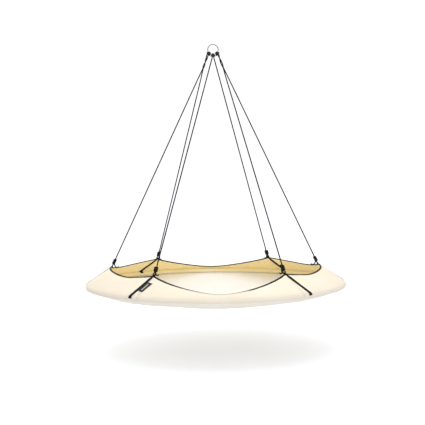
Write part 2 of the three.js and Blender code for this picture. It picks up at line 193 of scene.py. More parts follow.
def make_camera():
    """A long lens from the front, a little above the hoop, turned 2.5 degrees round the swing."""
    distance = 7.158 * HOOP_RADIUS
    elevation = 0.1189
    compass = math.radians(-92.52)
    hoop = Vector((0, 0, HOOP_Z))
    level = distance * math.cos(elevation)
    reach = Vector((level * math.cos(compass), level * math.sin(compass), 0))
    data = bpy.data.cameras.new("camera")
    data.sensor_width = 36.0
    data.lens = 76.52
    data.clip_end = 200.0
    camera = bpy.data.objects.new("camera", data)
    bpy.context.collection.objects.link(camera)
    camera.location = hoop + reach + Vector((0, 0, distance * math.sin(elevation)))
    aim = (hoop - camera.location).to_track_quat("-Z", "Y").to_matrix()
    pitch = Matrix.Rotation(0.0782, 3, "X")
    yaw = Matrix.Rotation(0.0025, 3, "Y")
    roll = Matrix.Rotation(-0.0113, 3, "Z")
    camera.rotation_euler = (aim @ pitch @ yaw @ roll).to_euler()
    bpy.context.scene.camera = camera


make_camera()


# ---------------------------------------------------------------- materials

class Shader:
    """A short hand for building one material's nodes."""

    def __init__(self, name):
        self.material = bpy.data.materials.new(name)
        self.material.use_nodes = True
        self.tree = self.material.node_tree
        self.tree.nodes.clear()
        self.output = self.tree.nodes.new("ShaderNodeOutputMaterial")

    def feed(self, socket, value):
        if isinstance(value, bpy.types.NodeSocket):
            self.tree.links.new(value, socket)
        else:
            socket.default_value = value

    def node(self, kind, settings=(), **inputs):
        made = self.tree.nodes.new("ShaderNode" + kind)
        for name, value in dict(settings).items():
            setattr(made, name, value)
        for name, value in inputs.items():
            self.feed(made.inputs[name.replace("_", " ")], value)
        return made

    def maths(self, operation, a, b=0.0, c=0.0):
        made = self.node("Math", {"operation": operation})
        for socket, value in zip(made.inputs, (a, b, c)):
            self.feed(socket, value)
        return made.outputs[0]

    def uv(self):
        """The piece's own map in metres, as two sockets: across or round it, and along it."""
        place = self.node("UVMap", {"uv_map": "UVMap"})
        split = self.node("SeparateXYZ", Vector=place.outputs["UV"])
        return split.outputs["X"], split.outputs["Y"]

    def wave(self, value, pitch, shift=0.0):
        """A sine of value, from 0 to 1, that repeats every pitch."""
        turned = self.maths("MULTIPLY_ADD", value, 2 * math.pi / pitch, shift)
        return self.maths("MULTIPLY_ADD", self.maths("SINE", turned), 0.5, 0.5)

    def noise(self, scale, detail=3.0, roughness=0.5, stretch=None):
        place = self.node("TexCoord").outputs["Object"]
        if stretch:
            place = self.node("Mapping", Vector=place, Scale=stretch).outputs["Vector"]
        made = self.node("TexNoise", Vector=place, Scale=scale, Detail=detail, Roughness=roughness)
        return made.outputs["Fac"]

    def ramp(self, factor, *stops):
        """A ramp between two stops, each a place and a colour."""
        made = self.node("ValToRGB", Fac=factor)
        for element, (place, colour) in zip(made.color_ramp.elements, stops):
            element.position = place
            element.color = colour
        return made.outputs["Color"]

    def mix(self, factor, a, b):
        made = self.node("Mix", {"data_type": "RGBA"})
        self.feed(made.inputs["Factor"], factor)
        self.feed(made.inputs["A"], a)
        self.feed(made.inputs["B"], b)
        return made.outputs["Result"]

    def bump(self, height, strength, distance, normal=None):
        made = self.node("Bump", Height=height, Strength=strength, Distance=distance)
        if normal:
            self.feed(made.inputs["Normal"], normal)
        return made.outputs["Normal"]

    def spread(self, factor, low, high):
        made = self.node("MapRange", Value=factor)
        made.inputs["To Min"].default_value = low
        made.inputs["To Max"].default_value = high
        return made.outputs["Result"]

    def surface(self, colour, rough, relief, **fixed):
        """The usual surface, with the values that are the same all over it."""
        return self.node("BsdfPrincipled", Base_Color=colour, Roughness=rough, Normal=relief, **fixed)

    def join(self, kind, first, second, **fixed):
        """Two shaders put together by a node whose last two inputs they are."""
        made = self.node(kind, **fixed)
        for socket, shader in zip(made.inputs[-2:], (first, second)):
            self.feed(socket, shader.outputs[0])
        return made

    def finish(self, surface):
        self.tree.links.new(surface.outputs[0], self.output.inputs["Surface"])
        return self.material


def rgb(red, green, blue):
    """A colour from its usual 0 to 255 form, as light."""
    def light(value):
        share = value / 255
        return share / 12.92 if share <= 0.04045 else ((share + 0.055) / 1.055) ** 2.4

    return light(red), light(green), light(blue), 1.0


def scaled(colour, share):
    """A colour made darker or lighter."""
    return (*(share * value for value in colour[:3]), 1.0)


def canvas_material(name, light, dark, through, share):
    """Plain-woven canvas: threads both ways, slubs, faint mottling, and light that comes through."""
    s = Shader(name)
    across, along = s.uv()
    thread = 0.0011
    warp = s.wave(across, thread)
    weft = s.wave(along, thread)
    over = s.wave(across, 2 * thread)
    weave = s.maths("ADD", s.maths("MULTIPLY", warp, over), s.maths("MULTIPLY", weft, 0.6))
    slub = s.noise(900.0, 2.0, 0.6, (1.0, 1.0, 0.12))
    mottle = s.noise(7.0, 5.0, 0.6)
    # For the inner side and the tunnel, light and dark are painted warm glow and shade; for the rest they
    # are the canvas's own cream
    cloud = s.ramp(mottle, (0.30, dark), (0.70, light))
    tint = s.mix(s.spread(slub, 0.0, 0.10), cloud, scaled(light, 0.82))
    fine = s.mix(s.spread(weave, 0.07, 0.0), tint, scaled(dark, 0.7))
    relief = s.bump(weave, 0.35, 0.00025)
    relief = s.bump(s.noise(60.0, 3.0, 0.55), 0.12, 0.0012, relief)
    rough = s.spread(slub, 0.78, 0.95)
    sheen = {"Specular_IOR_Level": 0.22, "Sheen_Weight": 0.12, "Sheen_Roughness": 0.5}
    cloth = s.surface(fine, rough, relief, **sheen)
    glow = s.node("BsdfTranslucent", Color=s.mix(mottle, through, scaled(through, 0.9)))
    return s.finish(s.join("MixShader", cloth, glow, Fac=share))


def webbing_material(name, dark, light, rib, twill):
    """Black woven webbing: slanting ribs that turn back at its middle line and at each twill from it."""
    s = Shader(name)
    across, along = s.uv()
    slant = s.maths("ABSOLUTE", s.maths("PINGPONG", across, twill))
    ribs = s.wave(s.maths("ADD", along, slant), rib)
    cross = s.wave(across, rib * 0.8)
    weave = s.maths("MULTIPLY", s.maths("POWER", ribs, 0.6), s.maths("POWER", cross, 0.35))
    fuzz = s.noise(1400.0, 2.0, 0.6)
    wear = s.noise(25.0, 4.0, 0.6)
    shade = s.mix(weave, dark, light)
    shade = s.mix(s.spread(wear, 0.0, 0.3), shade, scaled(light, 1.6))
    shade = s.mix(s.spread(fuzz, 0.0, 0.25), shade, dark)
    relief = s.bump(weave, 0.7, 0.0003)
    relief = s.bump(fuzz, 0.25, 0.0001, relief)
    sheen = {"Specular_IOR_Level": 0.18, "Sheen_Weight": 0.03, "Sheen_Roughness": 0.4}
    return s.finish(s.surface(shade, s.spread(weave, 0.85, 0.6), relief, **sheen))


def rope_material():
    """Braided black rope: strands that cross both ways round it, each of a few yarns."""
    s = Shader("rope_braid")
    around, along = s.uv()
    girth = math.pi * ROPE
    strand_width = girth / 8
    pitch = 0.030
    lead = s.maths("MULTIPLY", along, girth / pitch)
    turning = s.maths("ADD", around, lead)
    rise = s.wave(turning, strand_width)
    fall = s.wave(s.maths("SUBTRACT", around, lead), strand_width)
    checks = s.maths("MULTIPLY", s.maths("SUBTRACT", rise, 0.5), s.maths("SUBTRACT", fall, 0.5))
    over = s.maths("GREATER_THAN", checks, 0.0)
    strand = s.maths("MAXIMUM", s.maths("MULTIPLY", rise, over), s.maths("MULTIPLY", fall, 0.85))
    yarn = s.wave(turning, strand_width / 5)
    fuzz = s.noise(1500.0, 2.0, 0.7)
    shade = s.mix(strand, rgb(5, 5, 5), rgb(22, 22, 23))
    shade = s.mix(s.spread(fuzz, 0.0, 0.4), shade, rgb(32, 32, 34))
    relief = s.bump(strand, 0.9, 0.0006)
    relief = s.bump(yarn, 0.25, 0.00015, relief)
    rough = s.spread(strand, 0.9, 0.62)
    return s.finish(s.surface(shade, rough, relief, Specular_IOR_Level=0.2, Sheen_Weight=0.03))


def thread_material(name, dark, light, span):
    """Twisted sewing thread."""
    s = Shader(name)
    around, along = s.uv()
    twist = s.wave(s.maths("ADD", around, along), span)
    relief = s.bump(twist, 0.5, 0.0001)
    return s.finish(s.surface(s.mix(twist, dark, light), s.spread(twist, 0.75, 0.5), relief))


def metal_material(name, low, high, rough, smooth, relief_height, streak=(1.0, 1.0, 1.0)):
    """Metal with fine wear: a grain, drawn out as streak says, and faint stains."""
    s = Shader(name)
    grain = s.noise(420.0, 4.0, 0.6, streak)
    stain = s.noise(45.0, 5.0, 0.65)
    shade = s.mix(s.spread(stain, 0.0, 1.0), low, high)
    worn = s.maths("ADD", s.spread(grain, smooth, rough), s.spread(stain, 0.0, 0.08))
    relief = s.bump(grain, 0.2, relief_height)
    return s.finish(s.surface(shade, worn, relief, Metallic=1.0))


def tag_material():
    """A woven tag: dark satin with one plain pale stripe and no lettering."""
    s = Shader("tag_weave")
    across, along = s.uv()
    pick = s.wave(along, 0.0006)
    end = s.wave(across, 0.0005)
    weave = s.maths("MULTIPLY", pick, s.spread(end, 0.6, 1.0))
    stripe_aside = 0.004
    stripe_half_width = 0.0046
    stripe_half_length = 0.031
    off_stripe = s.maths("ABSOLUTE", s.maths("ADD", across, stripe_aside))
    bars = s.maths("GREATER_THAN", off_stripe, stripe_half_width)
    ends = s.maths("GREATER_THAN", s.maths("ABSOLUTE", along), stripe_half_length)
    border = s.maths("MAXIMUM", bars, ends)
    ground = s.mix(weave, rgb(6, 6, 7), rgb(24, 24, 26))
    stripe = s.mix(weave, rgb(150, 148, 143), rgb(205, 203, 197))
    shade = s.mix(border, stripe, ground)
    relief = s.bump(weave, 0.5, 0.00015)
    relief = s.bump(border, 0.4, 0.0001, relief)
    return s.finish(s.surface(shade, s.spread(weave, 0.75, 0.5), relief))


def floor_material():
    """The studio floor: plain, white where nothing shades it and a little lit from within, more so
    away from the swing."""
    s = Shader("studio_floor")
    reach = s.node("VectorMath", {"operation": "LENGTH"})
    s.feed(reach.inputs[0], s.node("TexCoord").outputs["Object"])
    away = s.node("MapRange", {"interpolation_type": "SMOOTHSTEP"}, Value=reach.outputs["Value"])
    for socket, value in (("From Min", 2.6), ("From Max", 5.0), ("To Min", 0.06), ("To Max", 0.20)):
        away.inputs[socket].default_value = value

    def glowing(shade, glow):
        return s.join("AddShader", s.node("BsdfDiffuse", Color=shade), s.node("Emission", Strength=glow))

    seen = glowing((0.98, 1.00, 1.04, 1.0), away.outputs["Result"])
    thrown = glowing((0.70, 0.70, 0.70, 1.0), 0.20)
    by_camera = s.node("LightPath").outputs["Is Camera Ray"]
    return s.finish(s.join("MixShader", thrown, seen, Fac=by_camera))


CREAM = rgb(251, 248, 241)
CREAM_DARK = rgb(247, 242, 231)
# Painted light: the warm yellow of the canvas's inner side is painted glow of light through the canvas and
# painted shade inside the saucer, on top of its real translucency
PAINTED_WARM_GLOW = rgb(254, 243, 206)
PAINTED_WARM_GLOW_DARK = rgb(247, 231, 188)
# Painted light: the sleeve's warm yellow is painted glow of light through the canvas and painted shade in
# the roll round the hoop
PAINTED_TUNNEL_GLOW = rgb(255, 240, 190)
PAINTED_TUNNEL_GLOW_DARK = rgb(253, 233, 176)
LIGHT_THROUGH = rgb(255, 246, 226)
WARM_THROUGH = rgb(255, 240, 190)

# The inner canvas and the tunnel take painted warm glow and shade as their base colour; the outside and the
# floor cloth keep the canvas's own cream
canvas_outside = canvas_material("canvas_outside", CREAM, CREAM_DARK, LIGHT_THROUGH, share=0.32)
canvas_inside_painted_glow = canvas_material("canvas_inside_painted_glow", PAINTED_WARM_GLOW, PAINTED_WARM_GLOW_DARK, WARM_THROUGH, share=0.60)
canvas_below = canvas_material("canvas_below", CREAM, CREAM_DARK, LIGHT_THROUGH, share=0.12)
canvas_tunnel_painted_glow = canvas_material("canvas_tunnel_painted_glow", PAINTED_TUNNEL_GLOW, PAINTED_TUNNEL_GLOW_DARK, WARM_THROUGH, share=0.10)
webbing = webbing_material(
    "webbing_black", rgb(4, 4, 5), rgb(20, 20, 21), rib=0.0022, twill=WEBBING_WIDTH / 2
)
tape = webbing_material("binding_black", rgb(5, 5, 5), rgb(22, 22, 23), rib=0.0012, twill=0.0040)
rope_braid = rope_material()
cream_thread = thread_material("thread_cream", rgb(214, 204, 180), rgb(247, 241, 226), span=0.0004)
black_thread = thread_material("thread_black", rgb(12, 12, 13), rgb(46, 46, 48), span=0.0004)
polished_steel = metal_material(
    "steel_polished", rgb(112, 114, 118), rgb(150, 152, 156), rough=0.22, smooth=0.10, relief_height=0.00002
)
drawn_aluminium = metal_material(
    "aluminium_drawn", rgb(158, 160, 163), rgb(196, 198, 200),
    rough=0.45, smooth=0.28, relief_height=0.00003, streak=(0.05, 0.05, 3.0)
)
brushed_steel = metal_material(
    "steel_brushed", rgb(142, 144, 148), rgb(182, 184, 187),
    rough=0.42, smooth=0.25, relief_height=0.00003, streak=(0.1, 0.1, 4.0)
)
tag_weave = tag_material()


# ---------------------------------------------------------------- mesh making

def add_object(name, mesh, materials):
    for material in materials:
        mesh.materials.append(material)
    piece = bpy.data.objects.new(name, mesh)
    bpy.context.collection.objects.link(piece)
    return piece


def stand_for(piece, node, body="saucer"):
    """The piece takes a CAD node's place and moves with its body."""
    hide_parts(node)
    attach(piece, body)


def open_mesh(name, vertices, faces, corner_uvs):
    """A smooth-shaded mesh with its own map."""
    mesh = bpy.data.meshes.new(name)
    mesh.from_pydata([tuple(v) for v in vertices], [], faces)
    layer = mesh.uv_layers.new(name="UVMap")
    flat = [value for face in corner_uvs for corner in face for value in corner]
    layer.data.foreach_set("uv", flat)
    mesh.polygons.foreach_set("use_smooth", [True] * len(faces))
    return mesh


def closed_mesh(name, vertices, faces, corner_uvs):
    """The same, with its faces turned outwards."""
    mesh = open_mesh(name, vertices, faces, corner_uvs)
    shape = bmesh.new()
    shape.from_mesh(mesh)
    bmesh.ops.recalc_face_normals(shape, faces=shape.faces)
    shape.to_mesh(mesh)
    shape.free()
    return mesh


def skin_faces(width, rows, across, along, round_across=True, round_along=False):
    """Faces and map of a skin over rows of width points. across gives each column's place on the map
    and along each row's, with one more wherever the skin joins up with its own start."""
    faces = []
    uvs = []
    for r in range(rows if round_along else rows - 1):
        after = (r + 1) % rows
        low, high = along[r : r + 2]
        for c in range(width if round_across else width - 1):
            d = (c + 1) % width
            left, right = across[c : c + 2]
            faces.append((r * width + c, r * width + d, after * width + d, after * width + c))
            uvs.append(((left, low), (right, low), (right, high), (left, high)))
    return faces, uvs


def capped_faces(width, rows, across, along):
    """The same for a tube of loops, with a face over each end."""
    faces, uvs = skin_faces(width, rows, across, along)
    for r in (0, rows - 1):
        faces.append(tuple(range(r * width, (r + 1) * width)))
        uvs.append(tuple((across[c], along[r]) for c in range(width)))
    return faces, uvs


def loft(name, loops, across, along, closed=False):
    """A skin over loops of points, its last loop joined to its first or both its ends capped."""
    width = len(loops[0])
    if closed:
        faces, uvs = skin_faces(width, len(loops), across, along, round_along=True)
    else:
        faces, uvs = capped_faces(width, len(loops), across, along)
    return closed_mesh(name, [point for loop in loops for point in loop], faces, uvs)


def running_length(points):
    total = [0.0]
    for before, after in zip(points, points[1:]):
        total.append(total[-1] + (after - before).length)
    return total


def catmull(points, fine, coarse=None, long=0.02):
    """A smooth line through points. Stretches longer than long take coarse steps."""
    coarse = coarse or fine
    ends = [2 * points[0] - points[1], *points, 2 * points[-1] - points[-2]]
    line = []
    for i in range(1, len(ends) - 2):
        a, b, c, d = ends[i - 1 : i + 3]
        t1 = math.sqrt((b - a).length)
        t2 = t1 + math.sqrt((c - b).length)
        t3 = t2 + math.sqrt((d - c).length)
        span = (c - b).length
        steps = max(1, round(span / (coarse if span > long else fine)))
        for k in range(steps):
            t = lerp(t1, t2, k / steps)
            ab = a * ((t1 - t) / t1) + b * (t / t1)
            bc = b * ((t2 - t) / (t2 - t1)) + c * ((t - t1) / (t2 - t1))
            cd = c * ((t3 - t) / (t3 - t2)) + d * ((t - t2) / (t3 - t2))
            near = ab * ((t2 - t) / t2) + bc * (t / t2)
            far = bc * ((t3 - t) / (t3 - t1)) + cd * ((t - t1) / (t3 - t1))
            line.append(near * ((t2 - t) / (t2 - t1)) + far * ((t - t1) / (t2 - t1)))
    line.append(points[-1].copy())
    return line


def tube(name, line, radius, sides, dome=True):
    """A round bar along a line, its ends flat or drawn in to small domes."""
    run = running_length(line)
    last = len(line) - 1
    side = None
    loops = []
    for i, place in enumerate(line):
        ahead = (line[min(i + 1, last)] - line[max(i - 1, 0)]).normalized()
        if side is None:
            spare = Vector((0, 0, 1)) if abs(ahead.z) < 0.9 else Vector((1, 0, 0))
            side = spare.cross(ahead)
        side = (side - ahead * side.dot(ahead)).normalized()
        other = ahead.cross(side)
        reach = radius
        if dome:
            near = min(run[i], run[-1] - run[i])
            if near < radius:
                reach = radius * max(0.25, math.sqrt(1 - (1 - near / radius) ** 2))
        turns = circle(sides)
        loops.append([place + side * (reach * math.cos(t)) + other * (reach * math.sin(t)) for t in turns])
    across = [2 * math.pi * radius * k / sides for k in range(sides + 1)]
    return loft(name, loops, across, run)


def stitch_row(parts, places, pitch, size):
    """Adds a row of stitches, each of one size, along places given as (point, outward) pairs."""
    points = [p for p, _ in places]
    run = running_length(points)
    count = int(run[-1] / pitch)
    index = 0
    for k in range(count):
        ends = []
        middle = (k + 0.5) * pitch
        for at in (middle - size / 2, middle + size / 2):
            while index < len(run) - 2 and run[index + 1] < at:
                index += 1
            while index > 0 and run[index] > at:
                index -= 1
            share = (at - run[index]) / max(run[index + 1] - run[index], 1e-9)
            ends.append(points[index].lerp(points[index + 1], share))
        outward = places[index][1]
        ahead = (ends[1] - ends[0]).normalized()
        side = outward.cross(ahead).normalized()
        parts.append((*ends, side, outward))


def stitch_mesh(name, parts):
    """Every stitch as a short round bead, sunk a little at its ends."""
    sides = 6
    radius = THREAD / 2
    # Along the stitch, how thick it is and how far it is lifted, as shares of its length and radius
    stations = (
        (0.0, 0.45, -0.5),
        (0.18, 0.95, 0.25),
        (0.5, 1.0, 0.5),
        (0.82, 0.95, 0.25),
        (1.0, 0.45, -0.5),
    )
    girth = 2 * math.pi * radius
    across = [girth * k / sides for k in range(sides + 1)]
    vertices = []
    faces = []
    uvs = []
    for start, end, side, outward in parts:
        base = len(vertices)
        for share, swell, lift in stations:
            middle = start.lerp(end, share) + outward * (lift * radius)
            for turn in circle(sides):
                spread = side * (swell * radius * math.cos(turn))
                vertices.append(middle + spread + outward * (swell * radius * math.sin(turn)))
        along = [station[0] * (end - start).length for station in stations]
        bead_faces, bead_uvs = capped_faces(sides, len(stations), across, along)
        faces += [tuple(base + corner for corner in face) for face in bead_faces]
        uvs += bead_uvs
    return closed_mesh(name, vertices, faces, uvs)


def add_stitching(name, parts, material):
    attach(add_object(name, stitch_mesh(name, parts), [material]), "saucer")


# ---------------------------------------------------------------- ropes

# One half of a cow hitch, as (along the ring, outward, back): up in front of the wire, over it, down
# behind, forward beneath it, and out to the bar that crosses in front of both legs
HALF_HITCH = (
    (0.0037, 0.0130, -0.0042),
    (0.0038, 0.0064, -0.0066),
    (0.0042, 0.0, -0.0081),
    (0.0048, -0.0058, -0.0058),
    (0.0057, -0.0082, 0.0003),
    (0.0071, -0.0059, 0.0058),
    (0.0089, 0.0, 0.0081),
    (0.0099, 0.0059, 0.0060),
    (0.0105, 0.0094, 0.0006),
    (0.0104, 0.0104, -0.0054),
    (0.0084, 0.0104, -0.0108),
    (0.0042, 0.0104, -0.0133),
)

# Where a rope's two legs leave its hitch, in the same terms
HITCH_MOUTH = (0.0, 0.012, -0.002)

# Each rope: its place on the ring, its two legs from left to right, and its measured length
ROPES = {
    "left": (-47.0, "back_left", "left", 4.15),
    "middle": (0.0, "front_left", "back_right", 4.14),
    "right": (47.0, "right", "front_right", 4.15),
}
STUB_FOOT = 0.020
LEG_HEAD = 0.0226
MIDDLE_APART = 0.0043
MIDDLE_MOUTH = 0.013
TWIST_RADIUS = 0.0044
TWIST_TURN = 242.7
PARTING_Z = -0.155
TWISTS = {"left": (0.0, 2.0), "right": (180.0, 0.9)}


def on_ring(bottom_angle, along, outward, back):
    turn = math.radians(bottom_angle) + along / RING_RADIUS
    reach = RING_RADIUS + outward
    return RING_CENTRE + Vector((reach * math.sin(turn), back, -reach * math.cos(turn)))


def eye_place(leg):
    return skin(CORNERS[leg][0], EYE_RISE, 0.0)


def hitch_mouth(rope):
    return on_ring(ROPES[rope][0], *HITCH_MOUTH)


def parting_place(rope):
    mouth = hitch_mouth(rope)
    goal = (eye_place(ROPES[rope][1]) + eye_place(ROPES[rope][2])) / 2
    return mouth.lerp(goal, (PARTING_Z - mouth.z) / (goal.z - mouth.z))


def strand_place(rope, side, share):
    """Place of one leg of a twisted pair, at a share of the way from the hitch to the parting."""
    start, pace = TWISTS[rope]
    turn = math.radians(start + TWIST_TURN * share**pace)
    mouth = hitch_mouth(rope)
    parting = parting_place(rope)
    run = (parting - mouth).normalized()
    across = (Vector((1, 0, 0)) - run * run.x).normalized()
    back = across.cross(run)
    twist = across * math.cos(turn) + back * math.sin(turn)
    return mouth.lerp(parting, share) + twist * (side * TWIST_RADIUS)


def leg_places(rope, leg):
    """The leg from just below its hitch to the last place before it runs straight to the corner."""
    top = SWING_AXIS_Z - LEG_HEAD
    if rope == "middle":
        side = -1 if leg == ROPES[rope][1] else 1
        mouth = Vector((side * MIDDLE_APART, side * 0.0008 - 0.0012, SWING_AXIS_Z - MIDDLE_MOUTH))
        eye = eye_place(leg)
        return mouth, [mouth.lerp(eye, (top - mouth.z) / (eye.z - mouth.z))]
    side = 1 if leg == rope else -1
    mouth = hitch_mouth(rope)
    first = (top - mouth.z) / (parting_place(rope).z - mouth.z)
    places = [strand_place(rope, side, share) for share in spaced(first, 1.0, steps=10)]
    return strand_place(rope, side, 0.0), places


# The knot above each corner, as (along the hoop, inward, up the leg) from the eye of the strap: the
# leg comes down its middle, through the strap, back up, then winds down round both to the tail
KNOT_DOWN = ((0.0010, 0.0, 0.069), (0.0026, 0.0, 0.059), (0.0036, 0.0, 0.047), (0.0039, 0.0, 0.035))
KNOT_EYE_SIDE = (
    (0.0040, 0.0, 0.024),
    (0.0060, 0.0, 0.0155),
    (0.0106, 0.0, 0.0088),
    (0.0110, 0.0, 0.0034),
    (0.0064, 0.0, 0.0003),
)
KNOT_EYE = (*KNOT_EYE_SIDE, (0.0, 0.0, 0.0), *((-a, i, u) for a, i, u in reversed(KNOT_EYE_SIDE)))
KNOT_UP = (
    (-0.0039, 0.0, 0.035),
    (-0.0041, -0.0008, 0.0425),
    (-0.0058, -0.0034, 0.0488),
    (-0.0092, -0.0042, 0.0534),
)
KNOT_TAIL = (
    (-0.0066, 0.0112, 0.0190),
    (-0.0040, 0.0150, 0.0140),
    (-0.0014, 0.0206, 0.0098),
    (0.0, 0.0276, 0.0082),
    (0.0, 0.0346, 0.0102),
    (0.0, 0.0396, 0.0150),
    (0.0, 0.0428, 0.0216),
)
WRAP_TURNS = 3.75
WRAP_TOP = 0.0558
WRAP_FOOT = 0.0236
WRAP_ALONG = 0.0114
WRAP_INWARD = 0.0082


def knot_wraps():
    steps_a_turn = 12
    steps = round(WRAP_TURNS * steps_a_turn)
    for i in range(steps + 1):
        turn = math.pi + 2 * math.pi * WRAP_TURNS * i / steps
        up = lerp(WRAP_TOP, WRAP_FOOT, i / steps)
        yield WRAP_ALONG * math.cos(turn), -WRAP_INWARD * math.sin(turn), up


def knot_route(rope, leg):
    """The rope from above its knot to the end of its tail, and the way up the leg."""
    eye = eye_place(leg)
    above = leg_places(rope, leg)[1][-1]
    up = (above - eye).normalized()
    turn = math.radians(CORNERS[leg][0])
    outside = Vector((math.cos(turn), math.sin(turn), 0))
    along = Vector((-math.sin(turn), math.cos(turn), 0))
    along = (along - up * along.dot(up)).normalized()
    inward = along.cross(up)
    if inward.dot(outside) > 0:
        inward = -inward
    route = [*KNOT_DOWN, *KNOT_EYE, *KNOT_UP, *knot_wraps(), *KNOT_TAIL]
    return [eye + along * a + inward * i + up * u for a, i, u in route]


def leg_route(rope, leg):
    """The rope from its hitch down one leg to the end of its tail."""
    mouth, places = leg_places(rope, leg)
    stub_z = SWING_AXIS_Z - STUB_FOOT
    stub = mouth.lerp(places[0], (stub_z - mouth.z) / (places[0].z - mouth.z))
    knot = knot_route(rope, leg)
    last = places[-1]
    steps = 16
    straight = [last.lerp(knot[0], i / steps) for i in range(1, steps)]
    return [stub, *places, *straight, *knot]


def rope_line(rope):
    angle = ROPES[rope][0]
    left = [on_ring(angle, -a, o, b) for a, o, b in HALF_HITCH]
    right = [on_ring(angle, a, o, b) for a, o, b in reversed(HALF_HITCH)]
    start = list(reversed(leg_route(rope, ROPES[rope][1])))
    route = [*start, *left, *right, *leg_route(rope, ROPES[rope][2])]
    return catmull(route, fine=0.0016, coarse=0.006)


def make_rope(rope):
    line = rope_line(rope)
    mesh = tube("rope_" + rope, line, ROPE / 2, sides=12)
    piece = add_object("rope_" + rope + "_pair", mesh, [rope_braid])
    nodes = ["hitch_" + rope]
    for leg in ROPES[rope][1:3]:
        nodes += ["rope_" + leg, "knot_" + leg]
    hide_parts(*nodes)
    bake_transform(piece)


for rope_name in ROPES:
    make_rope(rope_name)


# ---------------------------------------------------------------- ring

def make_ring():
    """The welded ring: round wire, with a low ground weld 64 degrees round from its top."""
    count = 160
    sides = 28
    weld_at = math.radians(64)
    bead_height = 0.00035
    bead_width = 0.0022
    groove_depth = 0.00012
    groove_aside = 0.0042
    groove_width = 0.0009
    loops = []
    for turn in circle(count):
        outward = Vector((math.sin(turn), 0, math.cos(turn)))
        away = math.atan2(math.sin(turn - weld_at), math.cos(turn - weld_at)) * RING_RADIUS
        bead = bead_height * math.exp(-((away / bead_width) ** 2))
        groove = groove_depth * math.exp(-(((abs(away) - groove_aside) / groove_width) ** 2))
        reach = RING_WIRE / 2 + bead - groove
        loop = []
        for around in circle(sides):
            ripple = 1 + 0.03 * bead / bead_height * math.sin(5 * around + 1.0)
            spread = RING_RADIUS + reach * ripple * math.cos(around)
            aside = Vector((0, reach * ripple * math.sin(around), 0))
            loop.append(RING_CENTRE + outward * spread + aside)
        loops.append(loop)
    along = [2 * math.pi * RING_RADIUS * i / count for i in range(count + 1)]
    across = [math.pi * RING_WIRE * k / sides for k in range(sides + 1)]
    mesh = loft("ring_welded", loops, across, along, closed=True)
    piece = add_object("ring_welded", mesh, [polished_steel])
    stand_for(piece, "hanging_ring", "ring")


make_ring()


# ---------------------------------------------------------------- canvas

WRAP_RISE = -LINE_RADIUS * (TANGENT_TURN + math.radians(58))
EDGE_INSET = 0.0011
COLUMN = 0.011
ROW = 0.0085
ROUND_COLUMNS = 420
PANEL_SEAM = 0.02


def gathers(angle):
    """The small uneven gathers, from -1 to 1, where cloth is sewn round the hoop."""
    along = along_hoop(angle)
    pitch = 0.021
    wander = 2.2 * math.sin(along * 23)
    return math.sin(2 * math.pi * along / pitch + wander)


def collar_ripple(panel, angle, rise):
    """How far the taut canvas stands proud of a true cone: folds that fan out from the corners, a
    slight fullness between them, and small gathers where it is sewn round the hoop."""
    start, end = PANELS[panel][:2]
    plan = profile(rise, 0.0)[0]
    fold_height = 0.0022
    fullness = 0.0035
    wander_height = 0.0016
    gather_height = 0.0005
    gather_fade = 0.02
    edge_fade = 0.02
    seam_fade = 1.2
    ripple = 0.0
    for corner in (start, end):
        aside = math.radians(abs(angle - corner)) * plan
        below = CORNER_RISE - rise
        reach = math.hypot(aside, below)
        fan = math.atan2(aside, max(below, 1e-6))
        fade = smooth_step(reach / 0.05) * math.exp(-reach / 0.16)
        ripple += fold_height * fade * math.sin(11 * fan + 0.6 * math.sin(corner))
    share = (angle - start) / (end - start)
    top = edge_rise(panel, angle)
    height = clamp(rise / top)
    pillow = fullness * math.sin(math.pi * share) * math.sin(math.pi * height)
    place = Vector((math.radians(angle) * 9.0, rise * 16.0, 2.7))
    wander = wander_height * noise.noise(place) * math.sin(math.pi * height) ** 0.5
    gather = gathers(angle) * math.exp(-abs(rise - 0.004) / gather_fade)
    calm = smooth_step((top - rise) / edge_fade)
    seam = smooth_step(min(angle - start, end - angle) / seam_fade)
    return (ripple + wander + gather_height * gather) * calm * seam + pillow * seam


def solidify(piece):
    """Gives a single skin of canvas its thickness, with its second material on its inner side."""
    shell = piece.modifiers.new("thickness", "SOLIDIFY")
    shell.thickness = CANVAS
    shell.offset = 0.0
    shell.use_even_offset = True
    shell.material_offset = 1
    graph = bpy.context.evaluated_depsgraph_get()
    mesh = bpy.data.meshes.new_from_object(piece.evaluated_get(graph))
    piece.modifiers.clear()
    old = piece.data
    piece.data = mesh
    bpy.data.meshes.remove(old)


def skin_mesh(name, rows, across, along, closed=False):
    """One open skin over rows of points, its faces turned the way the rows run."""
    faces, uvs = skin_faces(len(rows[0]), len(rows), across, along, round_across=closed)
    return open_mesh(name, [point for row in rows for point in row], faces, uvs)


def panel_angles(start, end, columns):
    return spaced(start + PANEL_SEAM, end - PANEL_SEAM, columns)


def make_collar(panel):
    """One panel of the collar, from its scalloped edge down over the hoop to its seam below."""
    start, end = PANELS[panel][:2]
    columns = round(along_hoop(end - start) / COLUMN)
    wrap_rows = 8
    face_rows = round(CORNER_RISE / ROW)
    shares = [-(1 - i / wrap_rows) for i in range(wrap_rows)]
    shares += [i / face_rows for i in range(face_rows + 1)]
    rows = []
    angles = panel_angles(start, end, columns)
    for share in shares:
        row = []
        for angle in angles:
            top = edge_rise(panel, angle) - EDGE_INSET
            rise = -share * WRAP_RISE if share < 0 else share * top
            row.append(skin(angle, rise, collar_ripple(panel, angle, rise)))
        rows.append(row)
    across = [along_hoop(angle) for angle in angles]
    along = [-share * WRAP_RISE if share < 0 else share * CORNER_RISE for share in shares]
    mesh = skin_mesh("collar_" + panel, rows, across, along)
    # The inner side of the collar takes the painted warm glow and shade
    piece = add_object("canvas_collar_" + panel, mesh, [canvas_outside, canvas_inside_painted_glow])
    solidify(piece)
    stand_for(piece, "collar_" + panel)


for panel_name in PANELS:
    make_collar(panel_name)


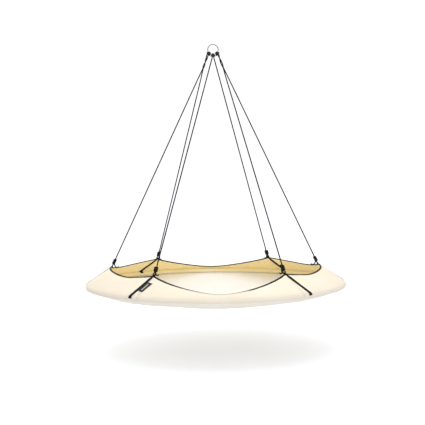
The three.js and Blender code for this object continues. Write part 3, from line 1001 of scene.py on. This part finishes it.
def make_sleeve():
    """The tunnel that holds the hoop, gathered a little along its inner side."""
    around = 40
    slit = math.radians(-104)
    whole_but_slit = 0.9995
    fullness = 0.0006
    slack = 0.0003
    rows = []
    for i in range(around + 1):
        turn = slit + 2 * math.pi * i / around * whole_but_slit
        row = []
        for c in range(ROUND_COLUMNS):
            angle = 360 * c / ROUND_COLUMNS
            pucker = fullness * gathers(angle) * (0.5 - 0.5 * math.cos(turn))
            soft = fullness * noise.noise(Vector((along_hoop(angle) * 30, turn * 2, 0.3)))
            reach = SLEEVE_RADIUS - CANVAS / 2 + pucker + soft - slack
            row.append(round_hoop(angle, turn, reach))
        rows.append(row)
    across = [2 * math.pi * HOOP_RADIUS * c / ROUND_COLUMNS for c in range(ROUND_COLUMNS + 1)]
    along = [SLEEVE_RADIUS * 2 * math.pi * i / around for i in range(around + 1)]
    mesh = skin_mesh("sleeve", rows, across, along, closed=True)
    # The sleeve's canvas takes the painted warm glow and shade on both its sides
    piece = add_object("canvas_sleeve", mesh, [canvas_tunnel_painted_glow, canvas_tunnel_painted_glow])
    solidify(piece)
    stand_for(piece, "hoop_sleeve")


make_sleeve()

FLOOR_LEAVES = -113.0
FLOOR_SEWN = -59.0
FLOOR_RADIUS = HOOP_RADIUS + LINE_RADIUS * math.cos(math.radians(FLOOR_LEAVES))
FLOOR_RIM = LINE_RADIUS * math.sin(math.radians(FLOOR_LEAVES))


def floor_place(angle, share):
    """The floor at a share of its radius: a shallow dish with soft folds running in from its seam."""
    gather_height = 0.0011
    broad_height = 0.006
    fine_height = 0.0018
    fold_height = 0.0022
    sag = FLOOR_SAG * (1 - share**4)
    seam = math.exp(-(1 - share) / 0.03) * smooth_step((1 - share) / 0.01)
    gather = gathers(angle) * gather_height * seam
    turn = math.radians(angle)
    flat = Vector((math.cos(turn) * share, math.sin(turn) * share, 0.0))
    broad = noise.noise(flat * 2.1 + Vector((3.1, 0.4, 0.0))) * broad_height
    fine = noise.noise(flat * 7.0 + Vector((0.0, 5.2, 1.0))) * fine_height
    folds = math.sin(9 * turn + 2.5 * math.sin(2 * turn)) * fold_height * share**2
    calm = smooth_step((1 - share) / 0.12)
    return polar(angle, FLOOR_RADIUS * share, FLOOR_RIM - sag + gather + (broad + fine + folds) * calm)


def floor_rim_place(angle, turn):
    """The floor's margin, drawn up under the sleeve to where it meets the collar."""
    at = math.radians(turn)
    middle = 0.5 - 0.5 * math.cos(2 * math.pi * (turn - FLOOR_LEAVES) / (FLOOR_SEWN - FLOOR_LEAVES))
    clear = 0.0002
    fullness = 0.0004
    reach = LINE_RADIUS + clear + fullness * middle * (1 + gathers(angle))
    return round_hoop(angle, at, reach)


def make_floor():
    """The floor's dish and margin as rings of points round one in the middle, its map seen from above."""
    rings = 70
    columns = ROUND_COLUMNS
    rows = []
    for i in range(1, rings + 1):
        share = (i / rings) ** 0.8
        rows.append([floor_place(360 * c / columns, share) for c in range(columns)])
    for turn in spaced(FLOOR_LEAVES, FLOOR_SEWN, steps=10)[1:]:
        rows.append([floor_rim_place(360 * c / columns, turn) for c in range(columns)])
    vertices = [floor_place(0.0, 0.0), *(point for row in rows for point in row)]
    faces = [(0, 1 + c, 1 + (c + 1) % columns) for c in range(columns)]
    for r in range(len(rows) - 1):
        base = 1 + r * columns
        for c in range(columns):
            d = (c + 1) % columns
            faces.append((base + c, base + columns + c, base + columns + d, base + d))
    uvs = [[(vertices[v].x, vertices[v].y) for v in face] for face in faces]
    mesh = open_mesh("floor", vertices, faces, uvs)
    piece = add_object("canvas_floor", mesh, [canvas_below, canvas_below])
    solidify(piece)
    stand_for(piece, "floor_panel")


make_floor()


# ---------------------------------------------------------------- binding, straps and tag

BINDING_COLUMN = 0.0055
BINDING_DEPTH = 0.012
BINDING_SLOT = CANVAS / 2 + 0.00005
BINDING_HALF = BINDING_SLOT + TAPE
STITCHED_AT = 0.0098
THREAD_LIFT = 0.00006


def binding_section():
    """The folded tape's section, as (below the edge, out from the middle surface)."""
    bend = 6
    outer = []
    inner = []
    for k in range(bend + 1):
        turn = math.pi * (k / bend - 0.5)
        outer.append((-BINDING_HALF + BINDING_HALF * math.cos(turn), BINDING_HALF * math.sin(turn)))
        inner.append((-BINDING_HALF + BINDING_SLOT * math.cos(turn), BINDING_SLOT * math.sin(turn)))
    depths = [-BINDING_DEPTH, -BINDING_DEPTH * 0.93, -BINDING_DEPTH * 0.6]
    pinch = [0.75, 1.0, 1.06]
    low = [(d, -BINDING_SLOT - TAPE * p) for d, p in zip(depths, pinch)]
    high = [(d, -out) for d, out in reversed(low)]
    inner_high = [(d, BINDING_SLOT) for d in depths]
    inner_low = [(d, -out) for d, out in reversed(inner_high)]
    return [*low, *outer, *high, *inner_high, *reversed(inner), *inner_low]


def edge_tilt(panel, angle):
    """Length of the edge for each unit run along the hoop."""
    step = 0.2
    change = edge_rise(panel, angle + step) - edge_rise(panel, angle - step)
    run = 2 * math.radians(step) * profile(edge_rise(panel, angle), 0.0)[0]
    steepest = 1.45
    return min(math.hypot(1, change / run), steepest)


def make_binding(panel, stitches):
    start, end = PANELS[panel][:2]
    columns = round(along_hoop(end - start) / BINDING_COLUMN)
    section = binding_section()
    loops = []
    rows = {1: [], -1: []}
    angles = panel_angles(start, end, columns)
    for angle in angles:
        top = edge_rise(panel, angle)
        tilt = edge_tilt(panel, angle)
        along = along_hoop(angle)
        ease = 1 + 0.04 * noise.noise(Vector((along * 60, 0.0, 1.3)))
        loops.append([skin(angle, top + depth * tilt * ease, out) for depth, out in section])
        for side in rows:
            place = skin(angle, top - STITCHED_AT * tilt, side * (BINDING_HALF + THREAD_LIFT))
            outward = skin(angle, top, side * 1.0) - skin(angle, top, 0.0)
            rows[side].append((place, outward.normalized()))
    run = running_length([loop[0] for loop in loops])
    ring = [Vector((d, o, 0)) for d, o in section]
    across = running_length([*ring, ring[0]])
    mesh = loft("binding_" + panel, loops, across, run)
    piece = add_object("tape_binding_" + panel, mesh, [tape])
    stand_for(piece, "binding_" + panel)
    for side in rows:
        stitch_row(stitches, rows[side][2:-2], *BINDING_STITCH)


binding_stitches = []
for panel_name in PANELS:
    make_binding(panel_name, binding_stitches)
add_stitching("stitching_bindings", binding_stitches, black_thread)

STRAP_FOOT_RISE = -LINE_RADIUS * (TANGENT_TURN + math.radians(3))
EYE_BEND = ROPE / 2 + 0.0004 + WEBBING / 2
STRAP_ON_CLOTH = CANVAS / 2 + 0.0002 + WEBBING / 2
STRAP_ON_TAPE = BINDING_HALF + 0.0002 + WEBBING / 2
TAPER = 0.045


def strap_places():
    """The strap's middle line as (plan, height) points: up the outside of the collar, through the
    rope's eye, and down the inside to the hoop."""
    def face(rise, out):
        return Vector(profile(rise, out))

    def hoop(turn, reach):
        angle = math.radians(turn)
        return Vector((HOOP_RADIUS + reach * math.cos(angle), reach * math.sin(angle)))

    under = BINDING_DEPTH + 0.002
    foot_shares = (1.0, 0.85, 0.7, 0.55, 0.4, 0.25, 0.1)
    points = [face(STRAP_FOOT_RISE * share, STRAP_ON_CLOTH) for share in foot_shares]
    points += [face(rise, STRAP_ON_CLOTH + 0.0002) for rise in (0.01, 0.04, 0.08, 0.12, 0.16)]
    points += [face(CORNER_RISE - under - 0.008, STRAP_ON_CLOTH), face(CORNER_RISE - under, STRAP_ON_TAPE)]
    points.append(face(CORNER_RISE - 0.003, lerp(STRAP_ON_TAPE, EYE_BEND, 0.8)))
    for turn in (90, 60, 30, 0, -30, -60, -90):
        angle = math.radians(turn)
        points.append(face(EYE_RISE + EYE_BEND * math.cos(angle), EYE_BEND * math.sin(angle)))
    points.append(face(CORNER_RISE - 0.003, -lerp(STRAP_ON_TAPE, EYE_BEND, 0.8)))
    points += [face(CORNER_RISE - under, -STRAP_ON_TAPE), face(CORNER_RISE - under - 0.008, -STRAP_ON_CLOTH)]
    points += [face(rise, -STRAP_ON_CLOTH - 0.0004) for rise in (0.16, 0.12, 0.08, 0.045)]
    points += [face(0.025, -STRAP_ON_CLOTH - 0.0012)]
    points += [hoop(turn, SLEEVE_RADIUS + 0.0018) for turn in (112, 126, 142, 160)]
    return catmull(points, 0.0025)


def strap_rise(place):
    plan, height = place
    base_plan, base_height = profile(0.0, 0.0)
    return (height - base_height) * math.sin(SLOPE) - (plan - base_plan) * math.cos(SLOPE)


def strap_spot(corner, place, aside):
    """A place on a strap: its (plan, height) point, moved aside along the hoop."""
    angle, foot = CORNERS[corner]
    rise = strap_rise(place)
    middle = lerp(foot, angle, clamp(rise / CORNER_RISE))
    return polar(middle - math.degrees(aside / place[0]), place[0], place[1])


def narrowing(place):
    """From 0 on the plain strap to 1 where it is folded narrow for the eye."""
    return smooth_step((strap_rise(place) - CORNER_RISE + TAPER) / TAPER)


def ribbon_section():
    """Half widths and thicknesses round a webbing's section, from -1 to 1, with rounded edges."""
    side = ((-0.985, 0.7), (-0.93, 1.0), (-0.6, 0.94), (-0.2, 0.98))
    upper = [*side, *((-share, deep) for share, deep in reversed(side))]
    lower = [(share, -deep) for share, deep in reversed(upper)]
    return [(-1.0, 0.0), *upper, (1.0, 0.0), *lower]


def make_strap(corner, stitches):
    line = strap_places()
    normals = []
    for i in range(len(line)):
        run = (line[min(i + 1, len(line) - 1)] - line[max(i - 1, 0)]).normalized()
        normals.append(Vector((run.y, -run.x)))
    if normals[2].x < 0:
        normals = [-n for n in normals]
    section = ribbon_section()
    loops = []
    for place, normal in zip(line, normals):
        half = lerp(WEBBING_WIDTH, WEBBING_TOP_WIDTH, narrowing(place)) / 2
        fold = 1 + 0.55 * narrowing(place)
        loop = []
        for share, deep in section:
            spot = place + normal * (deep * fold * WEBBING / 2)
            loop.append(strap_spot(corner, spot, share * half))
        loops.append(loop)
    run = running_length(line)
    across = [share * WEBBING_WIDTH / 2 for share, _ in section] + [-WEBBING_WIDTH / 2]
    mesh = loft("strap_" + corner, loops, across, run)
    piece = add_object("webbing_strap_" + corner, mesh, [webbing])
    stand_for(piece, "strap_" + corner)
    strap_stitching(corner, line, normals, run, stitches)


def strap_stitching(corner, line, normals, run, stitches):
    """Two rows up each strap, and a crossed box at its foot and below its eye, inside and out."""
    def spot(at, aside):
        index = min(range(len(run)), key=lambda i: abs(run[i] - at))
        before = max(index - 1, 0)
        after = min(index + 1, len(run) - 1)
        share = (at - run[before]) / (run[after] - run[before])
        place = line[before].lerp(line[after], clamp(share))
        lift = WEBBING / 2 + 0.0001
        point = strap_spot(corner, place + normals[index] * lift, aside)
        far = strap_spot(corner, place + normals[index] * (lift + 0.01), aside)
        return point, (far - point).normalized()

    def row(a, b):
        count = max(3, round(math.hypot(b[0] - a[0], b[1] - a[1]) / step))
        places = [spot(at, aside) for at, aside in zip(spaced(a[0], b[0], count), spaced(a[1], b[1], count))]
        stitch_row(stitches, places, *STRAP_STITCH)

    step = 0.002
    half = WEBBING_WIDTH / 2 - 0.003
    inset = 0.004
    last = run[-1] - inset
    narrow = [at for at, place in zip(run, line) if strap_rise(place) > CORNER_RISE - TAPER - inset]
    top, inner_top = narrow[0], narrow[-1]
    box = 0.026
    for low, high in ((inset, top), (inner_top, last)):
        row((low, -half), (high, -half))
        row((low, half), (high, half))
    for low in (inset, top - box, inner_top, last - box):
        high = low + box
        row((low, -half), (low, half))
        row((high, -half), (high, half))
        row((low, -half), (high, half))
        row((low, half), (high, -half))


strap_stitches = []
for corner_name in CORNERS:
    make_strap(corner_name, strap_stitches)
add_stitching("stitching_straps", strap_stitches, black_thread)


def make_tag():
    """The plain woven tag along the front left strap, its ends folded under and sewn down."""
    width = 0.040
    length = 0.090
    foot = 0.042
    offset = 0.034
    angle, strap_foot = CORNERS["front_left"]
    half_way = profile(CORNER_RISE / 2, 0.0)[0]
    lean = math.atan2(math.radians(angle - strap_foot) * half_way, CORNER_RISE)
    base = CANVAS / 2 + 0.0003
    fold = 0.008
    curl_height = 0.0011
    sewn_in = 0.004

    def spot(x, y, out):
        rise = foot + (length / 2 + y) * math.cos(lean) - x * math.sin(lean)
        middle = lerp(strap_foot, angle, rise / CORNER_RISE)
        turn = middle + math.degrees((offset + x) / math.cos(lean) / profile(rise, 0.0)[0])
        return skin(turn, rise, out + collar_ripple("front", turn, rise))

    rows = 40
    run = spaced(-length / 2, length / 2, rows)
    loops = []
    for i, y in enumerate(run):
        near_end = smooth_step(1 - (length / 2 - abs(y)) / fold)
        thick = TAG * (0.75 + 0.45 * near_end)
        curl = curl_height * math.sin(math.pi * i / rows) ** 2
        loop = []
        for share, deep in ribbon_section():
            lift = base + TAG + deep * thick / 2 + curl * abs(share) ** 2
            loop.append(spot(share * width / 2, y, lift))
        loops.append(loop)
    across = [share * width / 2 for share, _ in ribbon_section()] + [-width / 2]
    mesh = loft("tag", loops, across, run)
    piece = add_object("woven_tag", mesh, [tag_weave])
    stand_for(piece, "label")
    parts = []
    for y in (-length / 2 + sewn_in, length / 2 - sewn_in):
        places = []
        for x in spaced(-width / 2 + 0.002, width / 2 - 0.002, steps=23):
            point = spot(x, y, base + TAG * 1.65)
            places.append((point, (spot(x, y, base + 0.01) - point).normalized()))
        stitch_row(parts, places, *TAG_STITCH)
    add_stitching("stitching_tag", parts, black_thread)


make_tag()


def seam_stitching():
    """Rows of cream stitches: below the hoop where the collar meets the sleeve, and round the floor."""
    proud = CANVAS / 2 + 0.0001
    parts = []

    def on_collar(angle, rise):
        point = skin(angle, rise, proud)
        return point, (skin(angle, rise, 0.01) - point).normalized()

    def on_floor(angle, share):
        up = Vector((0, 0, 1))
        return floor_place(angle, share) + Vector((0, 0, proud)), up

    def round_row(place, at):
        count = 1500
        places = [place(360 * i / count, at) for i in range(count + 1)]
        stitch_row(parts, places, *CANVAS_STITCH)

    for rise in (WRAP_RISE + 0.003, WRAP_RISE + 0.0095):
        round_row(on_collar, rise)
    for share in (0.9905, 0.983):
        round_row(on_floor, share)
    add_stitching("stitching_canvas", parts, cream_thread)


seam_stitching()


# ---------------------------------------------------------------- hoop

JOINT_ANGLE = 20.0
SECTIONS = 6
SECTION_SPAN = 360.0 / SECTIONS
FERRULE = 0.120
FERRULE_SLACK = 0.0006


def make_hoop_section(index):
    """One bent length of the hoop's tube, open at both ends, its rims rounded."""
    start = JOINT_ANGLE + index * SECTION_SPAN
    inset = math.degrees(GAP / HOOP_RADIUS)
    sides = 24
    angles = spaced(start + inset, start + SECTION_SPAN - inset, steps=60)
    ease = 0.0004
    rim = math.degrees(ease / HOOP_RADIUS)
    outer = TUBE / 2
    inner = TUBE / 2 - TUBE_WALL
    stations = [(angles[0], outer - ease), (angles[0] + rim, outer)]
    stations += [(a, outer) for a in angles[1:-1]]
    stations += [(angles[-1] - rim, outer), (angles[-1], outer - ease), (angles[-1], inner)]
    stations += [(a, inner) for a in reversed(angles[1:-1])] + [(angles[0], inner)]
    loops = []
    for angle, reach in stations:
        loops.append([round_hoop(angle, turn, reach) for turn in circle(sides)])
    along = [along_hoop(angle) for angle, _ in stations]
    across = [math.pi * TUBE * k / sides for k in range(sides + 1)]
    mesh = loft("hoop", loops, across, [*along, along[0]], closed=True)
    piece = add_object("hoop_section_" + str(index + 1), mesh, [drawn_aluminium])
    stand_for(piece, "hoop_tube_" + str(index + 1))


def make_ferrule(index):
    """The plug inside each joint: a short round bar, bent as the hoop is."""
    joint = JOINT_ANGLE + index * SECTION_SPAN
    places = spaced(-FERRULE / 2, FERRULE / 2, steps=16)
    line = [polar(joint + math.degrees(place / HOOP_RADIUS), HOOP_RADIUS, 0) for place in places]
    radius = TUBE / 2 - TUBE_WALL - FERRULE_SLACK
    mesh = tube("ferrule", line, radius, sides=24, dome=False)
    piece = add_object("ferrule_" + str(index + 1), mesh, [brushed_steel])
    stand_for(piece, "hoop_ferrule_" + str(index + 1))


for section_index in range(SECTIONS):
    make_hoop_section(section_index)
    make_ferrule(section_index)


# ---------------------------------------------------------------- studio

FLOOR_BELOW_HOOP = 0.445


def make_studio():
    """A wide level floor below the swing, no part of it."""
    mesh = bpy.data.meshes.new("studio_floor")
    reach = 60.0
    corners = [(-reach, -reach), (reach, -reach), (reach, reach), (-reach, reach)]
    mesh.from_pydata([(x, y, HOOP_Z - FLOOR_BELOW_HOOP) for x, y in corners], [], [(0, 1, 2, 3)])
    mesh.materials.append(floor_material())
    stage = bpy.data.objects.new("studio_floor", mesh)
    bpy.context.collection.objects.link(stage)


def add_light(name, place, size, power, aim=Vector((0, 0, -1.4))):
    data = bpy.data.lights.new(name, "AREA")
    data.shape = "DISK"
    data.size = size
    data.energy = power
    light = bpy.data.objects.new(name, data)
    bpy.context.collection.objects.link(light)
    light.location = place
    light.rotation_euler = (aim - light.location).to_track_quat("-Z", "Y").to_euler()


def light_studio():
    """An even white room, white to the eye and a little dimmer as light, with three soft lamps."""
    world = bpy.data.worlds.new("studio")
    bpy.context.scene.world = world
    world.use_nodes = True
    tree = world.node_tree
    room = tree.nodes["Background"]
    room.inputs["Strength"].default_value = 0.90
    seen = tree.nodes.new("ShaderNodeBackground")
    seen.inputs["Strength"].default_value = 1.05
    for background in (room, seen):
        background.inputs["Color"].default_value = (1.0, 1.0, 1.0, 1.0)
    path = tree.nodes.new("ShaderNodeLightPath")
    choice = tree.nodes.new("ShaderNodeMixShader")
    tree.links.new(path.outputs["Is Camera Ray"], choice.inputs["Fac"])
    tree.links.new(room.outputs[0], choice.inputs[1])
    tree.links.new(seen.outputs[0], choice.inputs[2])
    tree.links.new(choice.outputs[0], tree.nodes["World Output"].inputs["Surface"])
    add_light("top_light", Vector((-0.1, 0.1, 2.2)), size=6.0, power=80)
    add_light("front_light", Vector((1.4, -6.0, -0.9)), size=3.5, power=75)
    add_light("back_light", Vector((-1.0, 4.5, -0.4)), size=3.0, power=60)
    view = bpy.context.scene.view_settings
    view.view_transform = "Standard"
    view.look = "None"


make_studio()
light_studio()
